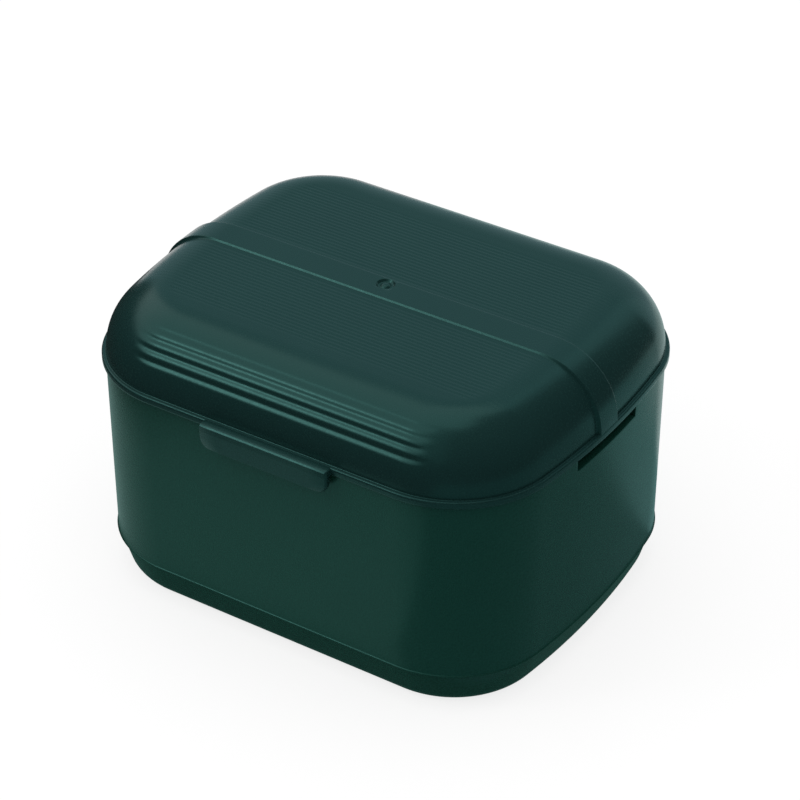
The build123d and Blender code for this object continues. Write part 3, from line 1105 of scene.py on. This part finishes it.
FINISHED_NODES = {
    ("strainer_basket", "basket_handle"): natural_polypropylene(),
    ("hinge_pin_left", "hinge_pin_right"): drawn_steel(),
}
for names, finish in FINISHED_NODES.items():
    for name in names:
        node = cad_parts[name]
        node.data.materials.clear()
        node.data.materials.append(finish)
        print(name, "has the finish", finish.name)

# %% [markdown]
# ## The studio
#
# The case stands on a white table in front of white, in soft light. The white comes from
# the light path: rays that the camera, a gloss or a clear material sends out find a
# world of strength 1, and the light that falls on the object is set apart from it. That
# light comes from above, with the square of the height of its direction.

# %% World
WHITE = (1.0, 1.0, 1.0, 1.0)
OVERHEAD = 1.6


def math_node(tree, operation, first, second):
    """The value of one operation on two values."""
    inputs = {0: first, 1: second}
    made = add_node(tree, "ShaderNodeMath", {"operation": operation}, inputs)
    return made.outputs["Value"]


def sees_white(tree):
    """1 for rays from the camera, a gloss or a clear material, and 0 for the others."""
    rays = add_node(tree, "ShaderNodeLightPath", {}, {}).outputs
    either = math_node(tree, "MAXIMUM", rays["Is Camera Ray"], rays["Is Glossy Ray"])
    return math_node(tree, "MAXIMUM", either, rays["Is Transmission Ray"])


def mix_shaders(tree, share, first, last):
    """The first node's shader where the share is 0 and the last one's where it is 1."""
    inputs = {0: share, 1: first.outputs[0], 2: last.outputs[0]}
    return add_node(tree, "ShaderNodeMixShader", {}, inputs)


world = bpy.data.worlds.new("white_studio")
scene.world = world
world.use_nodes = True
sky = world.node_tree
sky.nodes.clear()
direction = add_node(sky, "ShaderNodeTexCoord", {}, {}).outputs["Generated"]
upward = add_node(sky, "ShaderNodeSeparateXYZ", {}, {0: direction}).outputs["Z"]
squared = math_node(sky, "POWER", math_node(sky, "MAXIMUM", upward, 0.0), 2.0)
overhead = math_node(sky, "MULTIPLY", squared, OVERHEAD)
soft = add_node(sky, "ShaderNodeBackground", {}, {"Color": WHITE, "Strength": overhead})
white = add_node(sky, "ShaderNodeBackground", {}, {"Color": WHITE, "Strength": 1.0})
show(sky, mix_shaders(sky, sees_white(sky), soft, white), "ShaderNodeOutputWorld")
print("light from straight above has strength", OVERHEAD)

# %% [markdown]
# ## The table
#
# The table is white laminate. It works as the world does, and keeps the case's shadow:
# for rays from the camera or a gloss it is part glow and part laminate, and for the
# light between surfaces it is laminate alone. It is large, so its edges are out of sight.

# %% Table
FLOOR_GLOW = 0.8
FLOOR_HALF = 3.0


def stage_piece(name, points, faces, material):
    """A mesh of the studio, with its points in metres."""
    thing = mesh_object(name, points, faces, material)
    thing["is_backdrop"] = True
    return thing


table, tree = new_material("white_laminate_table")
laminate = add_node(tree, "ShaderNodeBsdfDiffuse", {}, {"Color": linear("#c4c4c4")})
shaded = add_node(tree, "ShaderNodeBsdfDiffuse", {}, {"Color": linear("#8c8c8c")})
glow = add_node(
    tree, "ShaderNodeEmission", {}, {"Color": WHITE, "Strength": FLOOR_GLOW}
)
seen = add_node(
    tree, "ShaderNodeAddShader", {}, {0: shaded.outputs[0], 1: glow.outputs[0]}
)
show(tree, mix_shaders(tree, sees_white(tree), laminate, seen))
floor_corners = np.array([(-1, -1, 0), (1, -1, 0), (1, 1, 0), (-1, 1, 0)]) * FLOOR_HALF
stage_piece("table_top", floor_corners, [(0, 1, 2, 3)], table)
print("the table is", 2 * FLOOR_HALF, "m wide")

# %% [markdown]
# ## Painted reflections for the shine
#
# A dark satin object shows its surroundings more than its own colour. In the photograph
# the shoulder of the lid and its right end are nearly black, so here they mirror painted
# dark reflections that stand in for black cloth. The flat top mirrors a pale painted
# reflection behind the case. The walls mirror a painted copy of the table near the foot,
# darker close to the foot and on the right as painted shade. All of these are strips
# that glow with one colour and that only the gloss finds: they give no light to the
# rest, throw no shadow and aren't seen. They are slightly green, as the picture's pale
# tones are. Two follow the plan of the case, just above the table. The others lie, stand
# or hang round it.

# %% Painted reflections
PLAN_REFLECTION_HEIGHT = 0.5
# Dark grey of the painted dark reflections that stand in for black cloth
PAINTED_DARK_REFLECTION = "#272727"
LYING = (0.001, 0.001)
HANGING = (0.20, 0.45)


def painted_reflection_strip(name, colour, strip):
    """A strip that glows with one even colour between two rows of points: a painted
    reflection. Only the gloss of the plastic finds it."""
    painted_glow, tree = new_material(name)
    show(tree, add_node(tree, "ShaderNodeEmission", {}, {"Color": linear(colour)}))
    quads = grid_quads(np.arange(strip[..., 0].size).reshape(2, -1))
    piece = stage_piece(name, strip.reshape(-1, 3), quads.tolist(), painted_glow)
    piece.visible_camera = piece.visible_diffuse = piece.visible_shadow = False


def plan_strip(*insets):
    """Points between two outlines of the tub's plan, once round and closed."""
    strip = ring_points(tub_columns, np.array(insets)[:, None], PLAN_REFLECTION_HEIGHT) / 1000
    return np.concatenate([strip, strip[:, :1]], axis=1)


def round_strip(radius, height, bearings):
    """Points round the case from one radius and height to another, between two bearings
    in degrees, counted from behind the case over its right side."""
    bearing = np.radians(np.linspace(*bearings, 25))
    radius, height = np.array(radius)[:, None], np.array(height)[:, None]
    return np.stack(
        [radius * np.sin(bearing), radius * np.cos(bearing), height + 0 * bearing],
        axis=-1,
    )


# Painted shade in the reflection: the table close to the foot is drawn darker
painted_reflection_strip("foot_painted_shade_reflection", "#436861", plan_strip(9.0, -5.0))
# A painted reflection of the lit table, which the walls show
painted_reflection_strip("near_painted_reflection", "#8fb3ae", plan_strip(-5.0, -65.0))
# Painted reflections round the case: pale ones behind it for the flat top, and a darker
# one on the right as painted shade for the right wall
# Colour, the radius and the height of both edges in metres, and the bearings
ROUND_PAINTED_REFLECTIONS = {
    # Darker painted shade for the right wall, then paler painted reflections behind
    "right_painted_shade_reflection": ("#557a79", (0.05, 0.35), LYING, (56, 160)),
    "rear_right_painted_reflection": ("#7dadac", (0.05, 0.35), LYING, (36, 56)),
    "rear_painted_reflection": ("#d8f0ee", (0.05, 0.35), LYING, (-28, 36)),
    # Painted dark reflections for the shoulder of the lid and its right end
    "lying_painted_dark_reflection": (PAINTED_DARK_REFLECTION, (0.10, 0.35), LYING, (160, 300)),
    "standing_painted_dark_reflection": (PAINTED_DARK_REFLECTION, (0.35, 0.35), (0.0, 0.20), (28, 300)),
    "hanging_painted_dark_reflection": (PAINTED_DARK_REFLECTION, (0.35, 0.10), HANGING, (28, 155)),
    "hanging_painted_grey_reflection": ("#6f7c7a", (0.35, 0.10), HANGING, (155, 188)),
    # Standing painted reflections behind the case, for the flat top
    "back_painted_reflection": ("#8caab0", (0.35, 0.35), (0.0, 0.60), (-60, 8)),
    "back_right_painted_reflection": ("#b0d0d4", (0.35, 0.35), (0.0, 0.60), (8, 28)),
}
for name, (colour, *edges) in ROUND_PAINTED_REFLECTIONS.items():
    painted_reflection_strip(name, colour, round_strip(*edges))
print("cards round the case:", *ROUND_PAINTED_REFLECTIONS)

# %% [markdown]
# ## The softbox
#
# One softbox at the front left draws the lines along the flutes, the band and the rim.
# It is an area lamp, because a large lamp close by gives the soft edges of studio light.
# Its first side is level along X, as the flutes are. Its power is radiance times area
# times pi, for a lamp that sends its light evenly from its face.

# %% Softbox
SOFTBOX_BEARING = np.array([-0.50, -0.54, 0.69])
SOFTBOX_DISTANCE = 0.80
SOFTBOX_SIZE = (0.18, 0.26)
SOFTBOX_RADIANCE = 3.8
LIT_POINT = np.array([0.0, 0.0, 0.03])

away = SOFTBOX_BEARING / np.linalg.norm(SOFTBOX_BEARING)
level = np.array([1, 0, 0]) - away[0] * away
level /= np.linalg.norm(level)
lamp_place = LIT_POINT + SOFTBOX_DISTANCE * away

lamp_data = bpy.data.lights.new("flute_softbox", "AREA")
lamp_data.shape = "RECTANGLE"
lamp_data.size, lamp_data.size_y = SOFTBOX_SIZE
lamp_data.energy = SOFTBOX_RADIANCE * SOFTBOX_SIZE[0] * SOFTBOX_SIZE[1] * math.pi
lamp = bpy.data.objects.new("flute_softbox", lamp_data)
set_up(lamp, (level, np.cross(away, level), away), lamp_place)
print(lamp.name, "gives", round(lamp_data.energy, 2), "W")

# %% [markdown]
# ## Output
#
# Standard view transform shows each colour as it is, with no film curve. The box of the
# dressed model is measured, in millimetres.

# %% View settings and sizes
scene.view_settings.view_transform = "Standard"
dressed_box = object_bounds()
dressed_mm = [[round(1000 * c, 2) for c in corner] for corner in dressed_box]
print("dressed box in mm:", dressed_mm)
